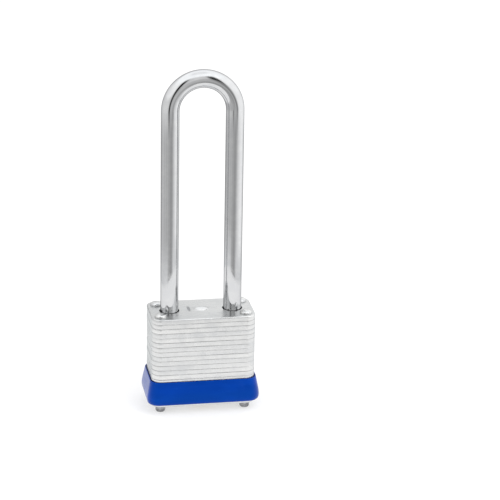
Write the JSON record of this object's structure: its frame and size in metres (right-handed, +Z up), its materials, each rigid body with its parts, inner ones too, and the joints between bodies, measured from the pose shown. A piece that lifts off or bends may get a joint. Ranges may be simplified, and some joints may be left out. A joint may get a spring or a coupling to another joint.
{
  "type": "laminated padlock",
  "caption": "Laminated steel padlock with a tall chromed shackle, a blue plastic bumper round its foot and a keyed brass cylinder facing down.",
  "frame": {"origin": "on the ground plane under the middle of the case, at the level of the four rivet feet", "axes": "+Z up along the shackle's legs, +X towards the toe leg (the one that comes free), -Y out of the front of the case"},
  "size_m": [0.0316, 0.0178, 0.0966],
  "materials": {
    "plates": "zinc plated, sheared edges with a fine grain",
    "rivets": "bright, peened",
    "shackle": "polished chrome plate",
    "bumper": "moulded, semi-gloss royal blue",
    "brass": "turned and milled",
    "spring_steel": "drawn wire and blued strip",
    "lever_steel": "case-hardened, dull"
  },
  "bodies": {
    "case": {"bottom_plate": "plates", "plate_02": "plates", "plate_03": "plates", "plate_04": "plates", "plate_05": "plates", "plate_06": "plates", "plate_07": "plates", "plate_08": "plates", "plate_09": "plates", "plate_10": "plates", "plate_11": "plates", "plate_12": "plates", "plate_13": "plates", "plate_14": "plates", "plate_15": "plates", "plate_16": "plates", "plate_17": "plates", "plate_18": "plates", "top_plate": "plates", "rivet_front_left": "rivets", "rivet_front_right": "rivets", "rivet_rear_left": "rivets", "rivet_rear_right": "rivets", "bumper": "bumper", "cylinder_shell": "brass", "chamber_cover": "brass", "front_lever_pivot": "lever_steel", "rear_lever_pivot": "lever_steel", "pin_spring_1": "spring_steel", "pin_spring_2": "spring_steel", "pin_spring_3": "spring_steel", "pin_spring_4": "spring_steel", "lever_spring": "spring_steel", "shackle_spring": "spring_steel"},
    "shackle": {"shackle": "shackle", "shackle_clip": "spring_steel"},
    "plug": {"plug": "brass", "plug_cam": "brass"},
    "front_lever": {"front_lever": "lever_steel"},
    "rear_lever": {"rear_lever": "lever_steel"},
    "key_pin_1": {"key_pin_1": "brass"},
    "key_pin_2": {"key_pin_2": "brass"},
    "key_pin_3": {"key_pin_3": "brass"},
    "key_pin_4": {"key_pin_4": "brass"},
    "driver_pin_1": {"driver_pin_1": "brass"},
    "driver_pin_2": {"driver_pin_2": "brass"},
    "driver_pin_3": {"driver_pin_3": "brass"},
    "driver_pin_4": {"driver_pin_4": "brass"}
  },
  "joints": [
    {"name": "shackle_lift", "type": "slide", "parent": "case", "child": "shackle", "axis": [0, 0, 1], "range_m": [0, 0.0105], "deforming": ["shackle_spring"]},
    {"name": "plug_turn", "type": "hinge", "parent": "case", "child": "plug", "pos_m": [0, -0.0012, 0.00357], "axis": [0, 0, 1], "range_deg": [-90, 0]},
    {"name": "front_lever_swing", "type": "hinge", "parent": "case", "child": "front_lever", "pos_m": [0.0046, -0.0045, 0.02131], "axis": [0, 0, 1], "range_deg": [-12.5, 0], "deforming": ["lever_spring"]},
    {"name": "rear_lever_swing", "type": "hinge", "parent": "case", "child": "rear_lever", "pos_m": [-0.0046, 0.0045, 0.02131], "axis": [0, 0, 1], "range_deg": [-12.5, 0]},
    {"name": "key_pin_1_slide", "type": "slide", "parent": "plug", "child": "key_pin_1", "axis": [1, 0, 0], "range_m": [0, 0.00185]},
    {"name": "key_pin_2_slide", "type": "slide", "parent": "plug", "child": "key_pin_2", "axis": [1, 0, 0], "range_m": [0, 0.00105]},
    {"name": "key_pin_3_slide", "type": "slide", "parent": "plug", "child": "key_pin_3", "axis": [1, 0, 0], "range_m": [0, 0.00145]},
    {"name": "key_pin_4_slide", "type": "slide", "parent": "plug", "child": "key_pin_4", "axis": [1, 0, 0], "range_m": [0, 0.00085]},
    {"name": "driver_pin_1_slide", "type": "slide", "parent": "case", "child": "driver_pin_1", "axis": [0, 1, 0], "range_m": [0, 0.0011], "stiffness_N_per_m": 60, "springref_m": -0.0006, "deforming": ["pin_spring_1"]},
    {"name": "driver_pin_2_slide", "type": "slide", "parent": "case", "child": "driver_pin_2", "axis": [0, 1, 0], "range_m": [0, 0.0011], "stiffness_N_per_m": 60, "springref_m": -0.0006, "deforming": ["pin_spring_2"]},
    {"name": "driver_pin_3_slide", "type": "slide", "parent": "case", "child": "driver_pin_3", "axis": [0, 1, 0], "range_m": [0, 0.0011], "stiffness_N_per_m": 60, "springref_m": -0.0006, "deforming": ["pin_spring_3"]},
    {"name": "driver_pin_4_slide", "type": "slide", "parent": "case", "child": "driver_pin_4", "axis": [0, 1, 0], "range_m": [0, 0.0011], "stiffness_N_per_m": 60, "springref_m": -0.0006, "deforming": ["pin_spring_4"]}
  ],
  "couplings": [
    {"joint": "front_lever_swing", "follows": "plug_turn", "ratio": 0.13889},
    {"joint": "rear_lever_swing", "follows": "plug_turn", "ratio": 0.13889}
  ]
}
